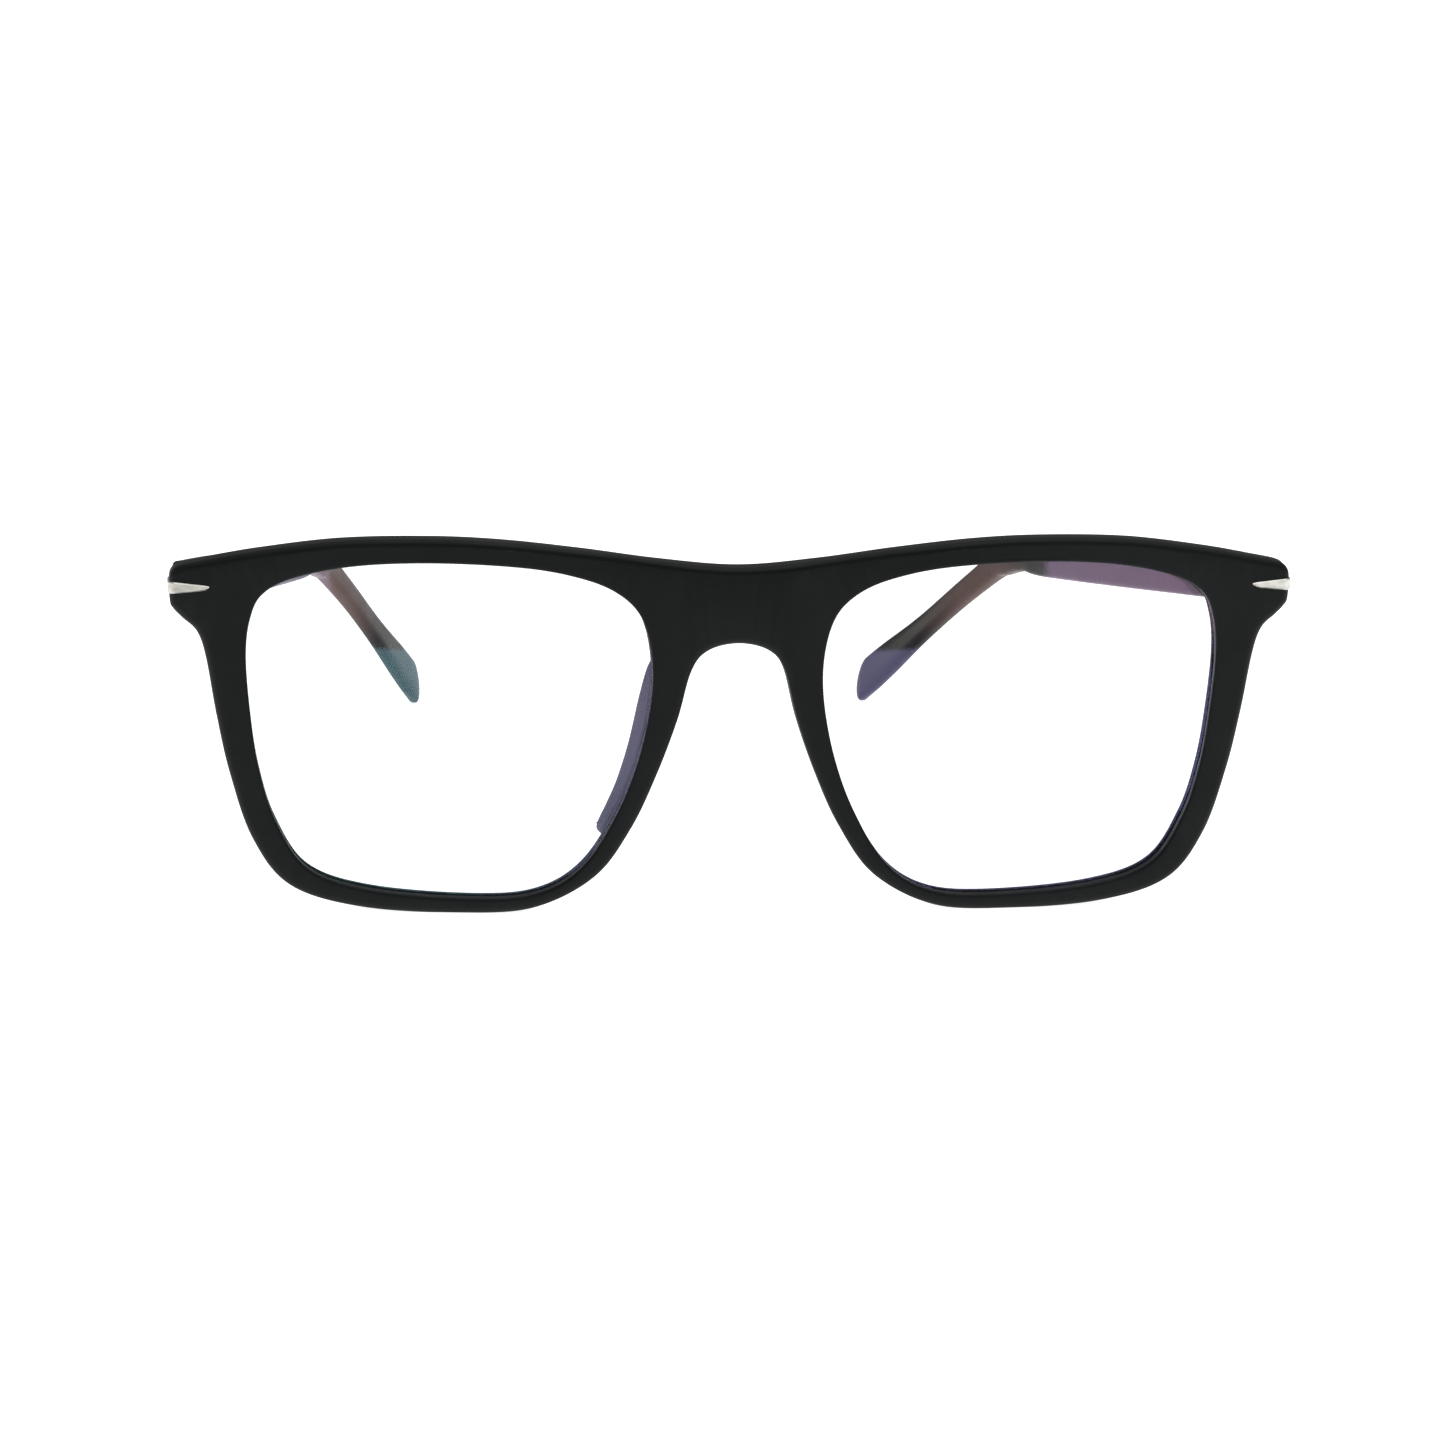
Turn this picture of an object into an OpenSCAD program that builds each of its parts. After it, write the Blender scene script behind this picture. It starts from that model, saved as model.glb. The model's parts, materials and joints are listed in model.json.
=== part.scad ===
// Full-rim glasses with clear lenses: a wrapped plastic front with metal corner
// trims, two lenses, two nose pads and two folding temples on five-barrel hinges.
// Millimetres. +Z up, +Y towards the ears, +X to the right of someone who looks at
// the front. The glasses rest on their rims and temple tips, on the plane Z = 0.

/* [Front] */
// Radius of the wrap of the front, seen from above
wrap_r = 400; // [350:10:500]
// Depth of the rims, front to back
rim_depth = 4; // [3.6:0.1:4.4]
// Y of the foremost point of the bridge
front_y = -68.9; // [-75:0.1:-60]

/* [Lenses] */
// Radius of the lens surfaces, halfway through the lens
lens_r = 250; // [220:10:300]
// Thickness of a lens
lens_t = 1.8; // [1.4:0.1:2]
// Depth of the middle of a lens behind the front face
lens_depth = 1.2; // [1:0.1:1.3]
// How far the lens edge reaches into its groove
bevel_reach = 0.55; // [0.4:0.05:0.7]
// Thickness of the lens edge in its groove
bevel_t = 0.7; // [0.5:0.05:0.8]

/* [Temples] */
// How far a temple is folded in at rest, from fully open
rest_fold = 12.8; // [0:0.1:20]
// Slope of a temple down towards the ear
temple_slope = 7.9; // [5:0.1:10]
// Length of the straight run from the hinge pin to the bend
temple_run = 82; // [75:1:90]
// Radius of the bend behind the ear
bend_r = 28; // [24:1:40]
// Angle of the bend behind the ear
bend_a = 25; // [24:1:30]
// Length of the straight tip after the bend
tip_run = 38.6; // [30:0.1:40]
// How much further the lower edge of a tip runs than its upper edge
tip_lean = 4.2; // [3:0.5:6]

/* [Hinges] */
// Distance of a hinge pin from the middle plane
pin_x = 65.2; // [64.8:0.1:65.6]
// Height of the middle of a hinge
pin_z = 40.7; // [40.4:0.1:41]
// Distance of a hinge pin behind the foremost point of the bridge
pin_back = 12.6; // [12.4:0.1:13]
// Radius of the hinge barrels
barrel_r = 1.5; // [1.3:0.1:1.6]
// Radius of the hinge screw's shank
screw_r = 0.65; // [0.6:0.05:0.7]

/* [Hidden] */

// Steps of a curve between two of its points
steps = 4;
// Clearance round parts that are fixed to each other
snug = 0.03;
// Axial gap between hinge barrels
barrel_gap = 0.05;
// Height of one of the five barrels
barrel_h = 1.1;
// Radial clearance of the screw's shank in the barrels
screw_play = 0.04;
// The end piece's flat back, in front of the pin
seat_y = -2;
// Front end of a temple, just clear of the seat
temple_front = seat_y + 0.1;
// Radius of the rivets' shanks and of their heads
rivet_r = 0.45;
rivet_head_r = 0.75;
// Places of the rivets: across and up on the front leaf, along the temple leaf
front_rivet_x = -2.15;
front_rivets_z = [-1.7, 1.7];
temple_rivets_y = [4.6, 8.6];
// Thickness of the flat of a hinge leaf, and half the height of the front leaf's
leaf_t = 0.7;
leaf_half = 2.75;
// Half the height of the slot that the temple leaf lies in
slot_half = 1.73;
// Half the width and half the thickness of the wire inside a temple
wire_half = [1.1, 0.5];
// Lean of the nose pads away from the nose, the Y of their rounded backs, and the
// shift towards the nose that keeps them behind the rims
pad_splay = 8;
pad_back = 11.2;
pad_shift = 0.4;
// Reach of the cutting shapes, front to back, beyond any part of the front
through = 25;
// Height of the wrapped shells' cylinders, which stand a little below the table
shell_h = 54;
shell_foot = -2;
// How far a trim stands proud of the front face, how deep it is let in, and the X
// and Y limits of the part that runs back along the side of the end piece
trim_proud = 0.2;
trim_deep = 0.7;
trim_side_x = 70.7;
trim_side_y = 10.1;
// Inner and outer face, half height and rear end of the temple leaf's flat
temple_leaf_x = [1.25, 2.4];
temple_leaf_half = 1.7;
temple_leaf_end = 11;
// Radius and height of the screw's head, and half the width of its slot
screw_head_r = 1.25;
screw_head_h = 0.7;
screw_slot = 0.15;

// Right half of the outline, from the top of the bridge round to the nose arch.
// The flats under the rims are cut at Z = 0.
outline_half = [
    [0, 44.6], [10, 45.4], [20, 46.7], [30, 47.7], [39, 48], [50, 47.6], [60, 46.2],
    [67, 44.8], [70, 44.1], [71.1, 43.4], [71.5, 42.2], [71.4, 39.4], [70.9, 38.4],
    [69.8, 37.3], [68, 35.6], [66.9, 32.3], [65.6, 25], [63.9, 17.4], [61, 9], [56.2, 3.1],
    [47, 0.5], [34, -0.05], [25.2, 0.8],
    [17.8, 4.8], [13.3, 11], [10.1, 18], [7.6, 25], [5.9, 31.4], [3.8, 34], [0, 34.9]
];
// Aperture of the right lens
aperture = [
    [33, 1.9], [25, 2.7], [19.4, 6.2], [15.2, 12.9], [12.5, 20], [11, 27.5], [11, 33.4],
    [12.4, 38.3], [15.4, 41.3], [20, 43.2], [27, 44.5], [38, 45], [48, 44.5], [55.7, 42.9],
    [59.8, 40.7], [61.4, 37.4], [61.9, 32.5], [61.3, 25], [60.2, 18], [58.1, 11.4], [54, 5.4],
    [46, 2.8]
];
// Right nose pad, seen from the front
pad_outline = [
    [7.3, 30.2], [8.6, 25], [10.5, 18.2], [12.9, 12.6], [14.9, 9.4], [15.9, 8.7], [16.1, 9.7],
    [14.9, 12.4], [13.6, 15.6], [12.2, 20.4], [10.9, 26.5], [9.8, 30.4], [8.5, 31.8]
];
// Centre of the right lens
lens_x = 36.9;
lens_z = 23.6;

function mirrored(p) = [for (i = [len(p) - 2:-1:1]) [-p[i][0], p[i][1]]];

// A point of the smooth curve that passes through b and c, at t between 0 and 1
function between(a, b, c, d, t) =
    b + (c - a) * t / 2 + (2 * a - 5 * b + 4 * c - d) * t * t / 2
      + (3 * b - 3 * c + d - a) * t * t * t / 2;

// The smooth closed curve through the points p
function closed_curve(p) = let (n = len(p)) [
    for (i = [0:n - 1]) for (k = [0:steps - 1])
        between(p[(i + n - 1) % n], p[i], p[(i + 1) % n], p[(i + 2) % n], k / steps)
];

// The smooth open curve through the points p
function open_curve(p) = let (n = len(p)) concat([
    for (i = [0:n - 2]) for (k = [0:steps - 1])
        between(p[max(i - 1, 0)], p[i], p[i + 1], p[min(i + 2, n - 1)], k / steps)
], [p[n - 1]]);

function unit(v) = v / norm(v);
// The normal of path p at point i
function side_of(p, i) = let (
    a = p[max(i - 1, 0)], b = p[min(i + 1, len(p) - 1)], d = unit([b[0] - a[0], b[1] - a[1]])
) [-d[1], d[0]];
// The outline of a band along p, whose third coordinate is the half width. The far
// end is a half ellipse that reaches cap beyond the path, and leans by lean.
function band(p, cap, lean = 0) = let (
    n = len(p), e = p[n - 1], s = side_of(p, n - 1), d = [s[1], -s[0]]
) concat(
    [for (i = [0:n - 1]) [p[i][0], p[i][1]] + side_of(p, i) * p[i][2]],
    cap == 0 ? [] : [for (a = [75:-15:-75])
        [e[0], e[1]] + s * e[2] * sin(a) + d * (cap * cos(a) + lean * (1 - sin(a)) / 2)],
    [for (i = [n - 1:-1:0]) [p[i][0], p[i][1]] - side_of(p, i) * p[i][2]]
);

// Everything above stands in design axes, with the bridge's foremost point at Y = 0
module in_frame() { translate([0, front_y, 0]) children(); }
module left_of() { mirror([1, 0, 0]) children(); }
// Axes of the right hinge: X outward, Y back along the open temple, Z along the pin
module at_hinge() {
    in_frame() translate([pin_x, pin_back, pin_z]) rotate([-temple_slope, 0, 0]) children();
}
module at_temple() { at_hinge() rotate([0, 0, rest_fold]) children(); }

// A prism along Y over an outline in X and Z
module prism(from, to) {
    translate([0, to, 0]) rotate([90, 0, 0]) linear_extrude(to - from) children();
}
// A block between two corners
module block(a, b) { translate(a) cube(b - a); }

// The wrapped shell between two depths behind the front face
module wrap_shell(from, to) {
    translate([0, wrap_r, shell_foot]) difference() {
        cylinder(r = wrap_r - from, h = shell_h, $fn = 360);
        translate([0, 0, -1]) cylinder(r = wrap_r - to, h = shell_h + 2, $fn = 360);
    }
}
// The shell of a lens, from half its thickness in front of its middle to half behind
module lens_shell(half) {
    lean = asin(lens_x / wrap_r);
    middle = wrap_r - lens_depth;
    reach = lens_r - middle;
    translate([-reach * sin(lean), wrap_r + reach * cos(lean), lens_z]) difference() {
        sphere(r = lens_r + half, $fn = 180);
        sphere(r = lens_r - half, $fn = 180);
    }
}

// ---- Front ----
module front_outline() {
    intersection() {
        polygon(closed_curve(concat(outline_half, mirrored(outline_half))));
        translate([-90, 0]) square([180, 60]);
    }
}
// The thick end piece with its flat seat for the hinge and the temple
module end_block() {
    at_hinge() block([-3, seat_y - 3, -3], [5.7, seat_y, 3]);
}
module front_side_cuts() {
    in_frame() prism(-through, through) polygon(closed_curve(aperture));
    in_frame() intersection() {
        prism(-through, through) offset(delta = bevel_reach + 0.07) polygon(closed_curve(aperture));
        lens_shell(bevel_t / 2 + 0.05);
    }
    trim_body(snug);
    at_hinge() {
        block([-3 - snug, seat_y - leaf_t - snug, -leaf_half - snug],
              [1.5 + snug, seat_y + 3, leaf_half + snug]);
        for (z = front_rivets_z) translate([front_rivet_x, seat_y, z]) rotate([90, 0, 0])
            cylinder(r = rivet_r + snug, h = 3.1, $fn = 24);
    }
}
module front_frame() {
    color("#1d2021") difference() {
        union() {
            in_frame() intersection() {
                prism(-through, through) front_outline();
                wrap_shell(0, rim_depth);
            }
            end_block();
            left_of() end_block();
        }
        front_side_cuts();
        left_of() front_side_cuts();
    }
}

// ---- Corner trim: a silver wedge that wraps round the end piece ----
module trim_body(grow) {
    wedge = [[66.4, 41.3], [66.7, 41.6], [71.7, 42.05], [71.7, 40.45], [66.7, 41]];
    in_frame() intersection() {
        prism(0, trim_side_y + grow) offset(delta = grow) polygon(wedge);
        wrap_shell(-trim_proud - grow, rim_depth + 2);
        union() {
            wrap_shell(-trim_proud - 0.1, trim_deep + grow);
            block([trim_side_x - grow, rim_depth, 0], [90, through, shell_h]);
        }
    }
}

// ---- Lens ----
module lens_right() {
    color([0.85, 0.92, 1, 0.3]) in_frame() {
        intersection() {
            prism(-through, through) offset(delta = -0.05) polygon(closed_curve(aperture));
            lens_shell(lens_t / 2);
        }
        intersection() {
            prism(-through, through) offset(delta = bevel_reach) polygon(closed_curve(aperture));
            lens_shell(bevel_t / 2);
        }
    }
}

// ---- Nose pad ----
// A pad that stands on the back of the nasal rim and leans away from the nose
module pad_right() {
    color("#26272a") in_frame() difference() {
        translate([0, 3, 0]) rotate([0, 0, -pad_splay]) translate([-pad_shift, 0, 0])
            prism(-rim_depth, pad_back) polygon(closed_curve(pad_outline));
        wrap_shell(-through, rim_depth + 0.02);
        block([-through, pad_back, 0], [through, 2 * through, shell_h]);
    }
}

// ---- Hinge ----
// Barrel number i of five, from the bottom
module barrel(i) {
    translate([0, 0, (i - 2.5) * barrel_h + barrel_gap / 2])
        cylinder(r = barrel_r, h = barrel_h - barrel_gap, $fn = 48);
}
module barrel_web(i, a, b) {
    block([a[0], a[1], (i - 2.5) * barrel_h + barrel_gap / 2],
          [b[0], b[1], (i - 1.5) * barrel_h - barrel_gap / 2]);
}
module screw_bore() {
    translate([0, 0, -5]) cylinder(r = screw_r + screw_play, h = 10, $fn = 48);
}
module front_leaf() {
    color("#b8b9bb") at_hinge() difference() {
        union() {
            block([-3, seat_y - leaf_t, -leaf_half], [1.5, seat_y + 0.3, leaf_half]);
            for (i = [0, 2, 4]) {
                barrel(i);
                barrel_web(i, [-1.2, seat_y], [1.2, 0]);
            }
        }
        screw_bore();
        for (z = front_rivets_z) translate([front_rivet_x, seat_y + 1, z]) rotate([90, 0, 0])
            cylinder(r = rivet_r + snug, h = 3, $fn = 24);
    }
}
module front_rivets() {
    color("#c4c5c7") at_hinge() for (z = front_rivets_z) translate([front_rivet_x, seat_y, z]) {
        rotate([90, 0, 0]) cylinder(r = rivet_r, h = 3, $fn = 24);
        translate([0, 0.3 + 0.02, 0]) rotate([-90, 0, 0]) cylinder(r = rivet_head_r, h = 0.25, $fn = 24);
        translate([0, -0.1, 0]) rotate([-90, 0, 0]) cylinder(r = rivet_r, h = 0.6, $fn = 24);
    }
}
module hinge_screw() {
    half = 2.5 * barrel_h;
    color("#cfd0d2") at_hinge() difference() {
        union() {
            translate([0, 0, -half]) cylinder(r = screw_r, h = 2 * half + 0.4, $fn = 48);
            translate([0, 0, half + 0.02]) cylinder(r = screw_head_r, h = screw_head_h, $fn = 48);
        }
        block([-screw_slot, -2, half + 0.4], [screw_slot, 2, half + 1]);
    }
}
module temple_leaf() {
    color("#b8b9bb") at_temple() difference() {
        union() {
            block([temple_leaf_x[0], 1.8, -temple_leaf_half],
                  [temple_leaf_x[1], temple_leaf_end, temple_leaf_half]);
            for (i = [1, 3]) {
                barrel(i);
                barrel_web(i, [0.2, 0], [temple_leaf_x[1], 2]);
            }
        }
        screw_bore();
        for (y = temple_rivets_y) translate([0, y, 0]) rotate([0, 90, 0])
            cylinder(r = rivet_r + snug, h = 5, $fn = 24);
    }
}
module temple_rivets() {
    color("#c4c5c7") at_temple() for (y = temple_rivets_y) translate([0, y, 0]) rotate([0, 90, 0]) {
        translate([0, 0, 1]) cylinder(r = rivet_head_r, h = 0.23, $fn = 24);
        translate([0, 0, 1.1]) cylinder(r = rivet_r, h = 3.3, $fn = 24);
    }
}

// ---- Temple ----
// How far the rounded end of a tip reaches beyond the middle line
tip_cap = 2.4;
// The middle line of a temple from the side, as [along, up, half height]
bend_end = [temple_run + bend_r * sin(bend_a), -bend_r * (1 - cos(bend_a))];
function past_bend(d) = bend_end + d * [cos(bend_a), -sin(bend_a)];
side_path = open_curve([
    [temple_front, 0, 2.9], [14, 0, 2.9], [45, -0.1, 2.7], [temple_run - 8, -0.2, 2.4],
    for (a = [0, bend_a / 2]) [temple_run + bend_r * sin(a), -bend_r * (1 - cos(a)), 2.1],
    [bend_end[0], bend_end[1], 1.75],
    for (q = [[tip_run / 2, 1.7], [tip_run - 6, 2.4], [tip_run, 2.6]])
        [past_bend(q[0])[0], past_bend(q[0])[1], q[1]]
]);
// The same line from above, as [along, outward, half thickness]
plan_path = open_curve([
    [temple_front, 3.8, 2], [14, 3.8, 2], [45, 3.8, 1.7], [temple_run, 4.1, 1.5],
    [temple_run + 24, 1, 1.1], [temple_run + 60, -3.8, 1]
]);
function narrowed(p, f) = [for (q = p) [q[0], q[1], f]];
// A blade with the side outline and the plan outline of the two bands
module blade(side, plan, cap, lean = 0) {
    intersection() {
        translate([-12, 0, 0]) rotate([90, 0, 90]) linear_extrude(24) polygon(band(side, cap, lean));
        translate([0, 0, -60]) linear_extrude(80) polygon([for (q = band(plan, 0)) [q[1], q[0]]]);
    }
}
module wire_body(grow) {
    inner = [for (i = [steps:len(side_path) - 1 - steps / 2]) side_path[i]];
    blade(narrowed(inner, wire_half[0] + grow), narrowed(plan_path, wire_half[1] + grow), grow);
}
module temple_arm() {
    color("#2b2624") at_temple() difference() {
        blade(side_path, plan_path, tip_cap, tip_lean);
        block([0, -0.3, -slot_half], [temple_leaf_x[1] + snug, temple_leaf_end + snug, slot_half]);
        for (y = temple_rivets_y) translate([0, y, 0]) rotate([0, 90, 0])
            cylinder(r = rivet_r + snug, h = 4.5, $fn = 24);
        wire_body(snug);
    }
}
module core_wire() { color("#9b9c9e") at_temple() wire_body(0); }

front_frame();
left_of() lens_right();  // lens_left
lens_right();
left_of() pad_right();  // nose_pad_left
pad_right();  // nose_pad_right
left_of() color("#cdced0") trim_body(0);  // corner_trim_left
color("#cdced0") trim_body(0);  // corner_trim_right
left_of() front_leaf();  // front_leaf_left
front_leaf();  // front_leaf_right
left_of() front_rivets();  // front_rivets_left
front_rivets();  // front_rivets_right
left_of() hinge_screw();  // hinge_screw_left
hinge_screw();  // hinge_screw_right
left_of() temple_leaf();  // temple_leaf_left
temple_leaf();  // temple_leaf_right
left_of() temple_rivets();  // temple_rivets_left
temple_rivets();  // temple_rivets_right
left_of() temple_arm();  // temple_left
temple_arm();  // temple_right
left_of() core_wire();  // core_wire_left
core_wire();  // core_wire_right
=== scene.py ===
"""Full-rim glasses with coated lenses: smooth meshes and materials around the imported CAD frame.
Lengths in the design tables are millimetres; mm() turns them into Blender's metres."""

import json
import math

import bmesh
import bpy
from mathutils import Matrix, Quaternion, Vector


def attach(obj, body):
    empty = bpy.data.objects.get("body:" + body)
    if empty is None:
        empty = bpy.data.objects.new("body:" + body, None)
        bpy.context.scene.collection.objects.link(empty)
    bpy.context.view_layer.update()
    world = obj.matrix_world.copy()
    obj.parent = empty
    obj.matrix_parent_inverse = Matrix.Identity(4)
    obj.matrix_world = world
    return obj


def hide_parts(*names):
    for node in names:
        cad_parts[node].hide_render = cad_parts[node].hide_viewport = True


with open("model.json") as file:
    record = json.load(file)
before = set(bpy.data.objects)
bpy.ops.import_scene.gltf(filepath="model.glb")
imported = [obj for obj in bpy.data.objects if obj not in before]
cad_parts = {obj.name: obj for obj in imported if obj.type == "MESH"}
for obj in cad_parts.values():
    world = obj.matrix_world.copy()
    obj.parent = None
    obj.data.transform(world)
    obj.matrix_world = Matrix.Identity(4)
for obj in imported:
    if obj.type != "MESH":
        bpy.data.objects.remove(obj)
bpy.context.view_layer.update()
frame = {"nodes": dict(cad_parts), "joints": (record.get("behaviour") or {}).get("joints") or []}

# ---------------------------------------------------------------- design values, in millimetres
WRAP_R = 400.0
RIM_DEPTH = 4.0
LENS_R = 250.0
LENS_T = 1.8
LENS_DEPTH = 1.2
LENS_X, LENS_Z = 36.9, 23.6
BEVEL_REACH, BEVEL_T = 0.5, 0.7
REST_FOLD, TEMPLE_SLOPE = 12.8, 7.9
TEMPLE_RUN, BEND_R, BEND_A, TIP_RUN = 82.0, 28.0, 25.0, 38.6
SEAT_Y = -2.0
TEMPLE_FRONT = SEAT_Y + 0.1
TIP_CAP, TIP_LEAN = 2.4, 4.2
PAD_SPLAY, PAD_SHIFT, PAD_BACK = 8.0, 0.4, 11.2
PAD_ROOT, PAD_SUNK, PAD_STEP, PAD_R = 3, 0.4, 0.1, 1.0
GROOVE_HALF, GROOVE_CLEAR, LENS_CLEAR = 0.4, 0.1, 0.04
END_BLOCK, END_BLOCK_R = ((-3, SEAT_Y - 3, -2.6), (5.4, SEAT_Y, 2.6)), 1.1

JOINT = {j["name"]: j for j in frame["joints"]}
PIN = Vector(JOINT["temple_right_fold"]["pos_m"]) * 1000
PIN_BACK = 12.6
FRONT_Y = PIN.y - PIN_BACK

OUTLINE_HALF = [
    (0, 44.6), (10, 45.4), (20, 46.7), (30, 47.7), (39, 48), (50, 47.6), (60, 46.2),
    (67, 44.8), (70, 44.1), (71.1, 43.4), (71.5, 42.2), (71.4, 39.4), (70.9, 38.4),
    (69.8, 37.3), (68, 35.6), (66.9, 32.3), (65.6, 25), (63.9, 17.4), (61, 9), (56.2, 3.1),
    (47, 0.5), (34, -0.05), (25.2, 0.8), (17.8, 4.8), (13.3, 11), (10.1, 18), (7.6, 25),
    (5.9, 31.4), (3.8, 34), (0, 34.9),
]
APERTURE = [
    (33, 1.9), (25, 2.7), (19.4, 6.2), (15.2, 12.9), (12.5, 20), (11, 27.5), (11, 33.4),
    (12.4, 38.3), (15.4, 41.3), (20, 43.2), (27, 44.5), (38, 45), (48, 44.5), (55.7, 42.9),
    (59.8, 40.7), (61.4, 37.4), (61.9, 32.5), (61.3, 25), (60.2, 18), (58.1, 11.4), (54, 5.4),
    (46, 2.8),
]
PAD_OUTLINE = [
    (7.3, 30.2), (8.6, 25), (10.5, 18.2), (12.9, 12.6), (14.9, 9.4), (15.9, 8.7), (16.1, 9.7),
    (14.9, 12.4), (13.6, 15.6), (12.2, 20.4), (10.9, 26.5), (9.8, 30.4), (8.5, 31.8),
]
# A temple's middle line from the side: along, up, half height
BEND = math.radians(BEND_A)
BEND_END = (TEMPLE_RUN + BEND_R * math.sin(BEND), -BEND_R * (1 - math.cos(BEND)))


def past_bend(d):
    return (BEND_END[0] + d * math.cos(BEND), BEND_END[1] - d * math.sin(BEND))


SIDE_PATH = [
    (TEMPLE_FRONT, 0, 2.9), (14, 0, 2.9), (45, -0.1, 2.7), (TEMPLE_RUN - 8, -0.2, 2.4), (TEMPLE_RUN, 0, 2.1),
    (TEMPLE_RUN + BEND_R * math.sin(BEND / 2), -BEND_R * (1 - math.cos(BEND / 2)), 2.1),
    (*BEND_END, 1.75), (*past_bend(TIP_RUN / 2), 1.7), (*past_bend(TIP_RUN - 6), 2.4),
    (*past_bend(TIP_RUN), 2.6),
]
# The same line from above: along, outward, half thickness
PLAN_PATH = [
    (TEMPLE_FRONT, 3.8, 2), (14, 3.8, 2), (45, 3.8, 1.7), (TEMPLE_RUN, 4.1, 1.5),
    (TEMPLE_RUN + 24, 1, 1.1), (TEMPLE_RUN + 60, -3.8, 1),
]
# A trim's lower and upper edge where it starts and where it ends
TRIM_TIP, TRIM_END = (66.5, 41.05, 41.6), (71.7, 40.45, 42.05)
TEMPLE_LENGTH = past_bend(TIP_RUN + TIP_CAP)[0]
SIDES = (("left", -1), ("right", 1))


# ---------------------------------------------------------------- curves
def between(a, b, c, d, t):
    return tuple(
        q + (r - p) * t / 2 + (2 * p - 5 * q + 4 * r - s) * t * t / 2
        + (3 * q - 3 * r + s - p) * t ** 3 / 2
        for p, q, r, s in zip(a, b, c, d)
    )


def closed_curve(points, steps):
    n = len(points)
    return [
        between(points[i - 1], points[i], points[(i + 1) % n], points[(i + 2) % n], k / steps)
        for i in range(n) for k in range(steps)
    ]


def open_curve(points, steps):
    n = len(points)
    curve = [
        between(points[max(i - 1, 0)], points[i], points[i + 1], points[min(i + 2, n - 1)], k / steps)
        for i in range(n - 1) for k in range(steps)
    ]
    return curve + [points[-1]]


def inset(loop, d):
    """The closed loop moved by d towards the left of its direction of travel."""
    n = len(loop)
    moved = []
    for i in range(n):
        a, b = loop[i - 1], loop[(i + 1) % n]
        t = Vector((b[0] - a[0], b[1] - a[1])).normalized()
        moved.append((loop[i][0] - t.y * d, loop[i][1] + t.x * d))
    return moved


def area(loop):
    return sum(
        loop[i - 1][0] * loop[i][1] - loop[i][0] * loop[i - 1][1] for i in range(len(loop))
    ) / 2


def anticlockwise(loop):
    return loop if area(loop) > 0 else loop[::-1]


# ---------------------------------------------------------------- mesh helpers
def mm(x, y, z):
    """A point of the design axes as Blender metres in the row frame."""
    return Vector((x, y + FRONT_Y, z)) / 1000


def new_object(name, bm, material, body, replaces):
    bmesh.ops.remove_doubles(bm, verts=bm.verts, dist=1e-7)
    bmesh.ops.recalc_face_normals(bm, faces=bm.faces)
    mesh = bpy.data.meshes.new(name)
    bm.to_mesh(mesh)
    bm.free()
    for p in mesh.polygons:
        p.use_smooth = True
    ob = bpy.data.objects.new(name, mesh)
    bpy.context.scene.collection.objects.link(ob)
    mesh.materials.append(material)
    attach(ob, body)
    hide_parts(*replaces)
    return ob


def sharpen(mesh, angle):
    mesh.set_sharp_from_angle(angle=math.radians(angle))


def bridge_rings(bm, rings, closed=True):
    """Quads between each ring of vertices and the next."""
    for a, b in zip(rings, rings[1:]):
        n = len(a)
        for i in range(n if closed else n - 1):
            j = (i + 1) % n
            bm.faces.new((a[i], a[j], b[j], b[i]))


def ring(bm, points):
    return [bm.verts.new(p) for p in points]


# ---------------------------------------------------------------- materials
def nodes_of(name):
    mat = bpy.data.materials.new(name)
    mat.use_nodes = True
    nt = mat.node_tree
    return mat, nt, nt.nodes["Principled BSDF"]


def noise(nt, scale, detail=2.0, stretch=None, rough=0.5):
    coords = nt.nodes.new("ShaderNodeTexCoord")
    n = nt.nodes.new("ShaderNodeTexNoise")
    n.inputs["Scale"].default_value = scale
    n.inputs["Detail"].default_value = detail
    n.inputs["Roughness"].default_value = rough
    if stretch is None:
        nt.links.new(coords.outputs["Object"], n.inputs["Vector"])
    else:
        mapping = nt.nodes.new("ShaderNodeMapping")
        mapping.inputs["Scale"].default_value = stretch
        nt.links.new(coords.outputs["Object"], mapping.inputs["Vector"])
        nt.links.new(mapping.outputs["Vector"], n.inputs["Vector"])
    return n.outputs["Fac"]


def ramp(nt, factor, stops):
    r = nt.nodes.new("ShaderNodeValToRGB")
    r.color_ramp.elements[0].position, r.color_ramp.elements[0].color = stops[0][0], (*stops[0][1], 1)
    r.color_ramp.elements[1].position, r.color_ramp.elements[1].color = stops[-1][0], (*stops[-1][1], 1)
    for place, colour in stops[1:-1]:
        r.color_ramp.elements.new(place).color = (*colour, 1)
    nt.links.new(factor, r.inputs["Fac"])
    return r.outputs["Color"]


def bump(nt, shader, height, strength, distance):
    b = nt.nodes.new("ShaderNodeBump")
    b.inputs["Strength"].default_value = strength
    b.inputs["Distance"].default_value = distance
    nt.links.new(height, b.inputs["Height"])
    nt.links.new(b.outputs["Normal"], shader.inputs["Normal"])


def span(nt, value, from_min, from_max, to_min, to_max):
    m = nt.nodes.new("ShaderNodeMapRange")
    ends = {"From Min": from_min, "From Max": from_max, "To Min": to_min, "To Max": to_max}
    for key, number in ends.items():
        m.inputs[key].default_value = number
    nt.links.new(value, m.inputs["Value"])
    return m.outputs["Result"]


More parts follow.
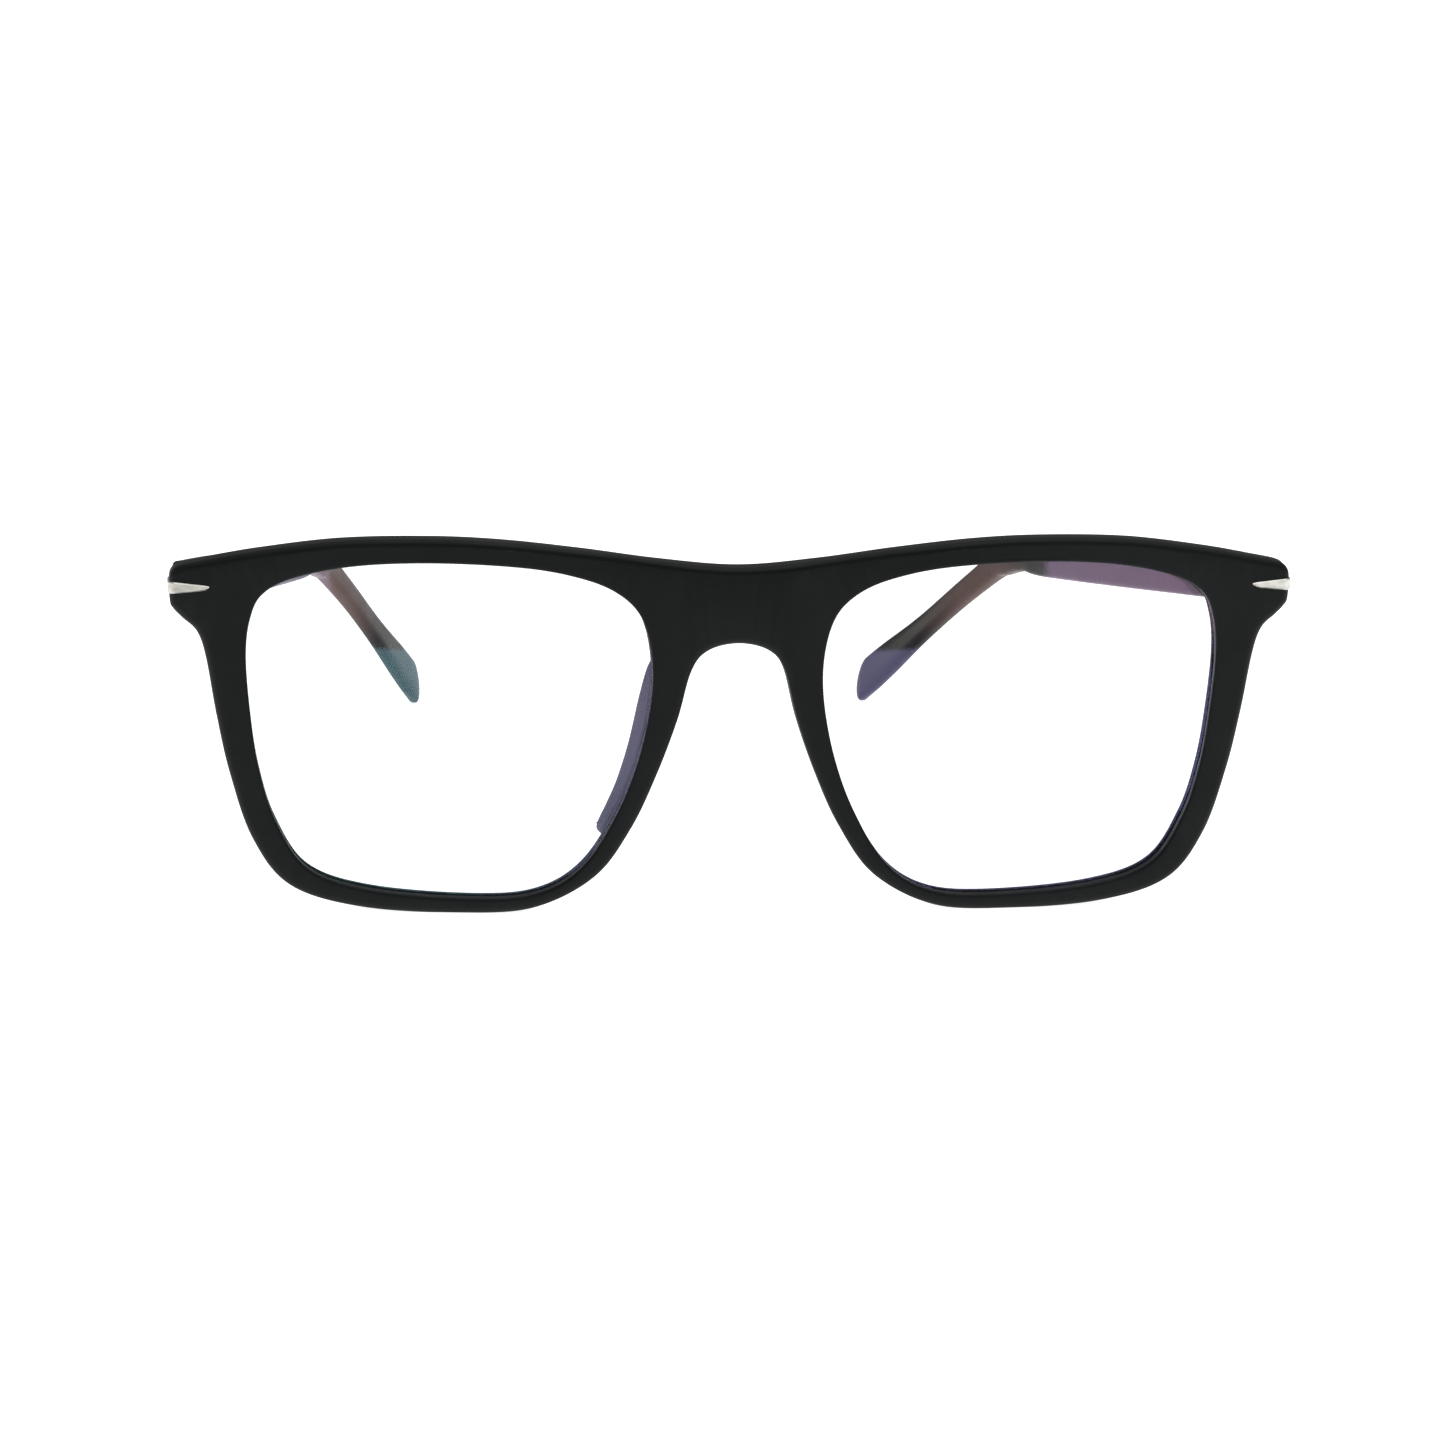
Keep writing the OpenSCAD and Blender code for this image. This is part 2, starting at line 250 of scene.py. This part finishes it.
def matt_plastic(name, dark, light, roughness, specular, grain):
    """Moulded plastic with a fine spark-eroded grain and a little colour variation."""
    mat, nt, p = nodes_of(name)
    nt.links.new(ramp(nt, noise(nt, 60, 3), [(0.3, dark), (0.7, light)]), p.inputs["Base Color"])
    rough = span(nt, noise(nt, 220, 3), 0.3, 0.7, roughness - 0.04, roughness + 0.04)
    nt.links.new(rough, p.inputs["Roughness"])
    p.inputs["Specular IOR Level"].default_value = specular
    bump(nt, p, noise(nt, 4200, 2), grain, 0.00004)
    return mat


def attribute(nt, name):
    a = nt.nodes.new("ShaderNodeAttribute")
    a.attribute_name = name
    return a.outputs["Fac"]


def mixed(nt, factor, a, b, mode="MIX"):
    m = nt.nodes.new("ShaderNodeMix")
    m.data_type = "RGBA"
    m.blend_type = mode
    nt.links.new(factor, m.inputs["Factor"])
    nt.links.new(a, m.inputs["A"])
    nt.links.new(b, m.inputs["B"])
    return m.outputs["Result"]


def product(nt, a, b):
    m = nt.nodes.new("ShaderNodeMath")
    m.operation = "MULTIPLY"
    nt.links.new(a, m.inputs[0])
    nt.links.new(b, m.inputs[1])
    return m.outputs["Value"]


def gloss_plastic(name, dark, brown, painted_highlight):
    """Polished plastic: nearly black, brown around the bend, with a painted highlight along the tip: a paler
    band on the middle height of its faces.
    """
    mat, nt, p = nodes_of(name)
    along = attribute(nt, "along")
    highlight_noise = noise(nt, 90, 3, stretch=(1, 0.15, 1))
    arm = [(0.0, dark), (0.6, dark), (0.68, brown), (0.76, brown)]
    base = ramp(nt, along, arm + [(0.86, dark), (1.0, dark)])
    # Painted highlight: the paler colour along the tip stands in for a reflection on the rounded faces; it
    # goes on the middle height of the faces, broken up a little by noise.
    with_highlight = ramp(nt, along, arm + [(0.86, painted_highlight), (1.0, dark)])
    middle = span(nt, attribute(nt, "rim"), 0.25, 0.6, 1, 0)
    highlight_breakup = span(nt, highlight_noise, 0.3, 0.7, 0.7, 1)
    nt.links.new(mixed(nt, product(nt, middle, highlight_breakup), base, with_highlight), p.inputs["Base Color"])
    rough = span(nt, noise(nt, 300, 2), 0.3, 0.7, 0.26, 0.34)
    nt.links.new(rough, p.inputs["Roughness"])
    p.inputs["Specular IOR Level"].default_value = 0.05
    bump(nt, p, noise(nt, 160, 1), 0.06, 0.00005)
    return mat


def metal(name, dark, light, roughness, stretch):
    """Drawn or brushed metal with fine parallel scratches."""
    mat, nt, p = nodes_of(name)
    p.inputs["Metallic"].default_value = 1.0
    lines = noise(nt, 900, 3, stretch=stretch)
    nt.links.new(ramp(nt, lines, [(0.3, dark), (0.7, light)]), p.inputs["Base Color"])
    nt.links.new(span(nt, lines, 0.3, 0.7, roughness - 0.06, roughness + 0.08), p.inputs["Roughness"])
    bump(nt, p, lines, 0.12, 0.00002)
    return mat


# Share of light the coating mirrors, half width of the colour change, heights where it changes, in metres
COATING_SHARE, COATING_HALF, COATING_CHANGE = 0.075, 0.062, (0.0335, 0.0355)


def lens_material():
    """Clear lens with a weak coloured mirror layer: purple high up, teal to violet low down."""
    mat = bpy.data.materials.new("coated_lens")
    mat.use_nodes = True
    nt = mat.node_tree
    nt.nodes.clear()
    out = nt.nodes.new("ShaderNodeOutputMaterial")
    clear = nt.nodes.new("ShaderNodeBsdfTransparent")
    clear.inputs["Color"].default_value = (0.985, 0.99, 0.995, 1)
    mirror = nt.nodes.new("ShaderNodeBsdfGlossy")
    mirror.inputs["Roughness"].default_value = 0.03
    coords = nt.nodes.new("ShaderNodeTexCoord")
    split = nt.nodes.new("ShaderNodeSeparateXYZ")
    nt.links.new(coords.outputs["Object"], split.inputs["Vector"])
    across = span(nt, split.outputs["X"], -COATING_HALF, COATING_HALF, 0, 1)
    low = ramp(nt, across, [(0.0, (0.2, 0.54, 0.6)), (0.22, (0.24, 0.5, 0.6)),
                            (0.4, (0.36, 0.32, 0.6)), (1.0, (0.32, 0.33, 0.7))])
    high = ramp(nt, across, [(0.0, (0.5, 0.34, 0.66)), (0.5, (0.5, 0.4, 0.75)), (1.0, (0.78, 0.42, 0.78))])
    height = span(nt, split.outputs["Z"], *COATING_CHANGE, 0, 1)
    nt.links.new(mixed(nt, height, low, high), mirror.inputs["Color"])
    shader = nt.nodes.new("ShaderNodeMixShader")
    shader.inputs[0].default_value = COATING_SHARE
    nt.links.new(clear.outputs[0], shader.inputs[1])
    nt.links.new(mirror.outputs[0], shader.inputs[2])
    nt.links.new(shader.outputs[0], out.inputs["Surface"])
    return mat


FRONT_PLASTIC = matt_plastic(
    "matt_black", (0.0014, 0.0026, 0.0029), (0.0026, 0.0044, 0.0048), 0.55, 0.2, 0.25
)
PAD_PLASTIC = matt_plastic("soft_pad", (0.008, 0.008, 0.009), (0.013, 0.013, 0.015), 0.6, 0.2, 0.15)
# Temple colours: near black, brown around the bend, and the paler painted highlight colour along the tip.
TEMPLE_PLASTIC = gloss_plastic("dark_gloss", (0.007, 0.006, 0.006), (0.11, 0.07, 0.06), (0.06, 0.058, 0.05))
TRIM_METAL = metal("silver_trim", (0.42, 0.41, 0.37), (0.76, 0.75, 0.71), 0.34, (0.5, 1, 1))
HINGE_METAL = metal("nickel_hinge", (0.45, 0.46, 0.48), (0.6, 0.61, 0.62), 0.34, (1, 0.2, 1))
SCREW_METAL = metal("bright_steel", (0.6, 0.61, 0.63), (0.75, 0.76, 0.78), 0.22, (1, 1, 1))
WIRE_METAL = metal("drawn_wire", (0.35, 0.36, 0.37), (0.48, 0.49, 0.5), 0.3, (1, 0.1, 1))
LENS = lens_material()


# ---------------------------------------------------------------- front
def wrap_y(x, depth):
    """Y of the shell at this depth behind the front face."""
    return WRAP_R - math.sqrt((WRAP_R - depth) ** 2 - x * x)


def lens_y(side, x, z, offset):
    """Y of a lens surface, offset behind its middle."""
    lean = math.asin(LENS_X / WRAP_R)
    reach = LENS_R - (WRAP_R - LENS_DEPTH)
    cx, cy = -side * reach * math.sin(lean), WRAP_R + reach * math.cos(lean)
    r = LENS_R - offset
    return cy - math.sqrt(r * r - (x - cx) ** 2 - (z - LENS_Z) ** 2)


FACET_EDGE, FACET_LEAN, FACET_TOP = 7.6, 0.17, 44
FACET_SLOPE, FACET_RUN, FACET_FADE = 0.085, 5, 16


def facet(x, z):
    """How far the front face falls back beside the flat middle of the bridge."""
    d = max(abs(x) - FACET_EDGE + FACET_LEAN * (FACET_TOP - z), 0)
    rise = FACET_SLOPE * min(d, FACET_RUN)
    fade = min(max((d - FACET_RUN) / FACET_FADE, 0), 1)
    return rise * (1 - fade * fade * (3 - 2 * fade))


def quarter(r, n=6):
    """(inset, depth) along a quarter round, from the flat face to the side."""
    return [
        (r * (1 - math.sin(a)), r * (1 - math.cos(a)))
        for a in (math.pi / 2 * k / n for k in range(n + 1))
    ]


EDGE_R, BACK_R, LIP_R = 0.9, 0.6, 0.35


def front_point(x, z, depth):
    y = wrap_y(x, depth)
    if depth < RIM_DEPTH / 2:
        y += facet(x, z) * (1 - depth / (RIM_DEPTH / 2))
    return mm(x, y, max(z, 0))


def edge_rings(bm, loop, front_r, back_r, groove_side):
    """The rings of vertices from the front face round a wall to the back face. Insets go into the plastic."""
    rings = []
    for d, depth in quarter(front_r):
        rings.append(ring(bm, [front_point(x, z, depth) for x, z in inset(loop, d)]))
    if groove_side:
        floor = BEVEL_REACH + GROOVE_CLEAR
        for d, place in ((0, -1), (floor, -1), (floor, 1), (0, 1)):
            moved, offset = inset(loop, d), place * GROOVE_HALF
            rings.append(ring(bm, [mm(x, lens_y(groove_side, x, z, offset), z) for x, z in moved]))
    for d, depth in reversed(quarter(back_r)):
        rings.append(ring(bm, [front_point(x, z, RIM_DEPTH - depth) for x, z in inset(loop, d)]))
    bridge_rings(bm, rings)
    return rings


def fill_between(bm, loops):
    edges = []
    for verts in loops:
        for i, v in enumerate(verts):
            edges.append(bm.edges.get((v, verts[i - 1])) or bm.edges.new((v, verts[i - 1])))
    out = bmesh.ops.triangle_fill(bm, edges=edges, use_beauty=True, use_dissolve=False)
    return [g for g in out["geom"] if isinstance(g, bmesh.types.BMFace)]


def at_hinge(side, local, fold=0.0):
    """A point of a hinge's own axes, in millimetres, as Blender metres."""
    turn = Matrix.Rotation(math.radians(-TEMPLE_SLOPE), 4, "X") @ Matrix.Rotation(math.radians(fold), 4, "Z")
    p = PIN + (turn @ Vector(local))
    return Vector((p.x * side, p.y, p.z)) / 1000


def rounded_block(bm, side, lo, hi, r):
    """A block with rounded edges in a hinge's own axes."""
    made = bmesh.ops.create_cube(bm, size=1.0)["verts"]
    for v in made:
        v.co = Vector([lo[k] + (v.co[k] + 0.5) * (hi[k] - lo[k]) for k in range(3)])
    edges = list({e for v in made for e in v.link_edges})
    out = bmesh.ops.bevel(bm, geom=edges, offset=r, segments=4, profile=0.5, affect="EDGES")
    found = {v for f in out["faces"] for v in f.verts}
    for v in found:
        v.co = at_hinge(side, v.co)


def build_front():
    bm = bmesh.new()
    half = OUTLINE_HALF
    whole = half + [(-x, z) for x, z in half[-2:0:-1]]
    outer = anticlockwise(closed_curve(whole, 14))
    outer_rings = edge_rings(bm, outer, EDGE_R, BACK_R, 0)
    hole_rings = []
    for _, side in SIDES:
        hole = [(side * x, z) for x, z in closed_curve(APERTURE, 14)]
        hole = anticlockwise(hole)[::-1]
        hole_rings.append(edge_rings(bm, hole, LIP_R, LIP_R, side))
    follow_wrap(bm, fill_between(bm, [outer_rings[0]] + [r[0] for r in hole_rings]), 0)
    follow_wrap(bm, fill_between(bm, [outer_rings[-1]] + [r[-1] for r in hole_rings]), RIM_DEPTH)
    for _, side in SIDES:
        rounded_block(bm, side, *END_BLOCK, END_BLOCK_R)
    return bm


def follow_wrap(bm, faces, depth):
    """Cuts a filled face into strips and lays the new points on the wrapped surface."""
    bm.verts.index_update()
    old = {v for f in faces for v in f.verts}
    cuts = [((x, 0, 0), (1, 0, 0)) for x in range(-70, 71, 2)]
    if depth == 0:
        foot = FACET_EDGE - FACET_LEAN * FACET_TOP
        cuts += [((side * foot, 0, 0), (side, 0, -FACET_LEAN)) for _, side in SIDES]
    for place, normal in cuts:
        geom = list({v for f in faces for v in f.verts} | {e for f in faces for e in f.edges} | set(faces))
        out = bmesh.ops.bisect_plane(
            bm, geom=geom, dist=1e-7, plane_co=Vector(place) / 1000, plane_no=Vector(normal).normalized()
        )
        faces = [f for f in out["geom"] if isinstance(f, bmesh.types.BMFace)]
    inside = {v for f in faces for v in f.verts} - old
    on_rim = {v for v in inside if any(len(set(e.link_faces) & set(faces)) == 1 for e in v.link_edges)}
    for v in inside - on_rim:
        v.co = front_point(v.co.x * 1000, v.co.z * 1000, depth)


# ---------------------------------------------------------------- lenses
def build_lens(side):
    bm = bmesh.new()
    loop = anticlockwise([(side * x, z) for x, z in closed_curve(APERTURE, 8)])
    middle = (side * LENS_X, LENS_Z)
    profile = [(-LENS_T / 2, k / 10) for k in range(1, 11)]
    profile += [(-BEVEL_T / 2, 1), (-BEVEL_T / 4, -BEVEL_REACH)]
    profile += [(BEVEL_T / 4, -BEVEL_REACH), (BEVEL_T / 2, 1)]
    profile += [(LENS_T / 2, k / 10) for k in range(10, 0, -1)]
    rings = []
    for offset, share in profile:
        if share < 0:
            points = inset(loop, share)
        else:
            points = [
                tuple(m + (c - m) * share for c, m in zip(p, middle)) for p in inset(loop, LENS_CLEAR)
            ]
        rings.append(ring(bm, [mm(x, lens_y(side, x, z, offset), z) for x, z in points]))
    bridge_rings(bm, rings)
    for end, offset in ((rings[0], -LENS_T / 2), (rings[-1], LENS_T / 2)):
        pole = bm.verts.new(mm(middle[0], lens_y(side, *middle, offset), middle[1]))
        for i, v in enumerate(end):
            bm.faces.new((end[i - 1], v, pole))
    return bm


# ---------------------------------------------------------------- nose pads
def build_pad(side):
    """A soft pad that starts inside the back of the rim and has a rounded back."""
    splay = math.radians(PAD_SPLAY)
    loop = anticlockwise(closed_curve(PAD_OUTLINE, 8))

    def at(x, z, depth):
        across = x - PAD_SHIFT
        back = (depth - PAD_ROOT + across * math.sin(splay)) / math.cos(splay)
        return mm(side * (across * math.cos(splay) + back * math.sin(splay)), depth, z)

    bm = bmesh.new()
    rings = [ring(bm, [at(x, z, wrap_y(x, RIM_DEPTH) - PAD_SUNK) for x, z in loop])]
    rings.append(ring(bm, [at(x, z, wrap_y(x, RIM_DEPTH) + PAD_STEP) for x, z in loop]))
    for share in (0.35, 0.7):
        rings.append(ring(bm, [
            at(x, z, (PAD_BACK - PAD_R) * share + (1 - share) * (wrap_y(x, RIM_DEPTH) + PAD_STEP))
            for x, z in loop
        ]))
    for d, depth in reversed(quarter(PAD_R)):
        rings.append(ring(bm, [at(x, z, PAD_BACK - depth) for x, z in inset(loop, d * 0.95)]))
    bridge_rings(bm, rings)
    for end in (rings[0], rings[-1]):
        fill_between(bm, [end])
    return bm


# ---------------------------------------------------------------- temples
# Roundness of a temple's section at the front, its gain, and where that starts and how long it takes
SQUARE, SQUARE_GAIN, SQUARE_FROM, SQUARE_RUN = 0.34, 0.3, 20, 80
NOSE_R, NOSE_DEPTH = 0.6, 3


def build_temple(side):
    """Sections round the middle line: each edge point of the side view has its own centre point."""
    path = open_curve(SIDE_PATH, 12)
    plan = open_curve(PLAN_PATH, 12)
    n = len(path)

    def plan_at(y):
        for a, b in zip(plan, plan[1:]):
            if y <= b[0] or b is plan[-1]:
                t = (y - a[0]) / (b[0] - a[0])
                return a[1] + (b[1] - a[1]) * t, a[2] + (b[2] - a[2]) * t

    def frame_at(i):
        a, b = path[max(i - 1, 0)], path[min(i + 1, n - 1)]
        along = Vector((b[0] - a[0], b[1] - a[1])).normalized()
        return along, Vector((-along.y, along.x))

    front_pole = Vector((TEMPLE_FRONT + NOSE_DEPTH, 0))
    first = next(i for i in range(n) if path[i][0] > front_pole.x)
    upper, lower = [], []
    for i in range(first, n):
        centre = Vector(path[i][:2])
        normal = frame_at(i)[1] * path[i][2]
        upper.append((centre + normal, centre))
        lower.append((centre - normal, centre))
    end = Vector(path[-1][:2])
    along, normal = frame_at(n - 1)
    tip = []
    for k in range(1, 18):
        a = math.radians(90 - 10 * k)
        reach = TIP_CAP * math.cos(a) + TIP_LEAN * (1 - math.sin(a)) / 2
        tip.append((end + normal * path[-1][2] * math.sin(a) + along * reach, end))
    h, r = path[0][2], NOSE_R
    nose = [Vector((front_pole.x, -h))]
    for sign in (-1, 1):
        turn = [math.radians(90 * k / 4) for k in range(5)]
        corner = [
            Vector((TEMPLE_FRONT + r * (1 - math.sin(a)), sign * (h - r + r * math.cos(a)))) for a in turn
        ]
        nose += corner if sign < 0 else [Vector((TEMPLE_FRONT, 0))] + corner[::-1]
    nose.append(Vector((front_pole.x, h)))
    edge = upper + tip + lower[::-1] + [(p, front_pole) for p in nose]

    bm = bmesh.new()
    rim = bm.verts.layers.float.new("rim")
    distance = bm.verts.layers.float.new("along")
    turns = [math.radians(90 - 11.25 * k) for k in range(17)]
    columns = []
    for point, centre in edge:
        boxy = SQUARE + SQUARE_GAIN * min(max((point.x - SQUARE_FROM) / SQUARE_RUN, 0), 1)
        column = []
        for a in turns:
            c, s = max(math.cos(a), 0) ** boxy, math.copysign(abs(math.sin(a)) ** boxy, math.sin(a))
            p = centre + (point - centre) * c
            out, half = plan_at(p.x)
            v = bm.verts.new(at_hinge(side, (out + half * s, p.x, p.y), REST_FOLD))
            v[rim], v[distance] = c, p.x / TEMPLE_LENGTH
            column.append(v)
        columns.append(column)
    for a, b in zip(columns, columns[1:] + columns[:1]):
        for k in range(len(turns) - 1):
            bm.faces.new((a[k], a[k + 1], b[k + 1], b[k]))
    return bm


# ---------------------------------------------------------------- corner trims
def build_trim(side):
    """A bar that follows the front face, turns round the corner and runs back along the side."""
    turn_r, proud, deep, chamfer = 0.9, 0.22, 0.5, 0.14
    corner_x = TRIM_END[0] - proud - turn_r
    path = []
    for k in range(9):
        x = TRIM_TIP[0] + (corner_x - TRIM_TIP[0]) * k / 8
        path.append((x, wrap_y(x, 0), Vector((x / WRAP_R, -1)).normalized()))
    corner_y = wrap_y(corner_x, 0) + turn_r
    for k in range(1, 8):
        a = math.radians(90 * k / 7)
        n = Vector((math.sin(a), -math.cos(a)))
        path.append((corner_x + turn_r * n.x, corner_y + turn_r * n.y, n))
    for k in range(1, 6):
        path.append((corner_x + turn_r, corner_y + k * 0.72, Vector((1, 0))))
    bm = bmesh.new()
    rings = []
    for i, (x, y, n) in enumerate(path):
        share = min((x - TRIM_TIP[0]) / (TRIM_END[0] - TRIM_TIP[0]), 1)
        low, high = (TRIM_TIP[k] + (TRIM_END[k] - TRIM_TIP[k]) * share for k in (1, 2))
        blunt = 0.45 if i == 0 else 0
        low, high = low + blunt * (high - low), high - blunt * (high - low) * 0.3
        cut = min(chamfer, (high - low) * 0.35)
        rise = proud * (0.4 if i in (0, len(path) - 1) else 1)
        section = [
            (-deep, low), (rise - cut, low), (rise, low + cut), (rise, high - cut), (rise - cut, high),
            (-deep, high),
        ]
        rings.append(ring(bm, [mm(side * (x + n.x * d), y + n.y * d, z) for d, z in section]))
    bridge_rings(bm, rings)
    for end in (rings[0], rings[-1]):
        bm.faces.new(end)
    return bm


# ---------------------------------------------------------------- pieces
new_object("front_shell", build_front(), FRONT_PLASTIC, "front", ["front_frame"])
for name, side in SIDES:
    arm = f"temple_{name}_arm"
    lens = new_object(f"coated_lens_{name}", build_lens(side), LENS, "front", [f"lens_{name}"])
    sharpen(lens.data, 30)
    new_object(f"soft_pad_{name}", build_pad(side), PAD_PLASTIC, "front", [f"nose_pad_{name}"])
    trim = new_object(
        f"silver_wedge_{name}", build_trim(side), TRIM_METAL, "front", [f"corner_trim_{name}"]
    )
    sharpen(trim.data, 40)
    new_object(
        f"temple_shell_{name}", build_temple(side), TEMPLE_PLASTIC, arm, [f"temple_{name}"]
    )

HARDWARE = {
    "front_leaf": HINGE_METAL, "temple_leaf": HINGE_METAL, "front_rivets": SCREW_METAL,
    "temple_rivets": SCREW_METAL, "hinge_screw": SCREW_METAL, "core_wire": WIRE_METAL,
}
SOFT_EDGE = 0.00008
for piece, material in HARDWARE.items():
    for name, _ in SIDES:
        ob = frame["nodes"][f"{piece}_{name}"]
        ob.data.materials.clear()
        ob.data.materials.append(material)
        edges = ob.modifiers.new("softened", "BEVEL")
        edges.width = SOFT_EDGE
        edges.segments = 2
        edges.limit_method = "ANGLE"
        edges.angle_limit = math.radians(35)

# ---------------------------------------------------------------- camera
TARGET = Vector((0, 30 + FRONT_Y, 24)) / 1000
AZIMUTH, ELEVATION, DISTANCE = math.radians(-6.0), math.radians(11.2), 0.8
ROLL = math.radians(0.9)
AIM_RIGHT, AIM_DOWN, FOCAL_LENGTH = 0.0012, 0.00515, 151.9
BACK = Vector((
    math.sin(AZIMUTH) * math.cos(ELEVATION), -math.cos(AZIMUTH) * math.cos(ELEVATION), math.sin(ELEVATION),
))
RIGHT = Vector((math.cos(AZIMUTH), math.sin(AZIMUTH), 0))
UP = BACK.cross(RIGHT)
cam = bpy.data.objects.new("camera", bpy.data.cameras.new("camera"))
bpy.context.scene.collection.objects.link(cam)
cam.location = TARGET + BACK * DISTANCE
aim = TARGET + RIGHT * AIM_RIGHT - UP * AIM_DOWN
cam.rotation_mode = "QUATERNION"
cam.rotation_quaternion = (aim - cam.location).to_track_quat("-Z", "Y") @ Quaternion((0, 0, 1), ROLL)
cam.data.lens = FOCAL_LENGTH
bpy.context.scene.camera = cam
bpy.context.scene.view_settings.view_transform = "Standard"


# ---------------------------------------------------------------- studio
def stage_plane(name, corners, material):
    mesh = bpy.data.meshes.new(name)
    mesh.from_pydata(corners, [], [(0, 1, 2, 3)])
    plane = bpy.data.objects.new(name, mesh)
    bpy.context.scene.collection.objects.link(plane)
    mesh.materials.append(material)
    return plane


def soft_light(name, place, look_at, width, height, radiance):
    """A rectangular soft box of this radiance, hidden from the camera itself."""
    data = bpy.data.lights.new(name, "AREA")
    data.shape = "RECTANGLE"
    data.size, data.size_y = width, height
    data.energy = radiance * math.pi * width * height
    light = bpy.data.objects.new(name, data)
    bpy.context.scene.collection.objects.link(light)
    light.location = place
    light.rotation_mode = "QUATERNION"
    light.rotation_quaternion = (Vector(look_at) - Vector(place)).to_track_quat("-Z", "Y")
    light.visible_camera = False


floor_mat, nt, p = nodes_of("white_floor")
p.inputs["Base Color"].default_value = (0.9, 0.9, 0.9, 1)
p.inputs["Roughness"].default_value = 0.9
p.inputs["Emission Color"].default_value = (1, 1, 1, 1)
p.inputs["Emission Strength"].default_value = 0.95
stage_plane("floor", [(-6, -6, 0), (6, -6, 0), (6, 6, 0), (-6, 6, 0)], floor_mat)

flag_mat, nt, p = nodes_of("black_flag")
p.inputs["Base Color"].default_value = (0.01, 0.01, 0.01, 1)
p.inputs["Roughness"].default_value = 1.0
FLAG_HALF, FLAG_TOP = 0.3, 0.3
FLAG_Y = FRONT_Y / 1000 - 0.3
flag_corners = [(x, FLAG_Y, z) for x, z in (
    (-FLAG_HALF, 0), (FLAG_HALF, 0), (FLAG_HALF, FLAG_TOP), (-FLAG_HALF, FLAG_TOP),
)]
flag = stage_plane("flag", flag_corners, flag_mat)
flag.visible_camera = False

soft_light("card_left", (-0.159, FLAG_Y + 0.02, 0.05), (-0.055, -0.06, 0.042), 0.062, 0.09, 0.9)
soft_light("card_right", (0.195, FLAG_Y + 0.02, 0.05), (0.055, -0.06, 0.042), 0.09, 0.09, 1.2)
soft_light("overhead", (0.2, -0.1, 1.2), (0, 0, 0), 1.2, 1.0, 1.6)

world = bpy.data.worlds.new("studio")
bpy.context.scene.world = world
world.use_nodes = True
world.node_tree.nodes["Background"].inputs["Color"].default_value = (0.35, 0.35, 0.35, 1)
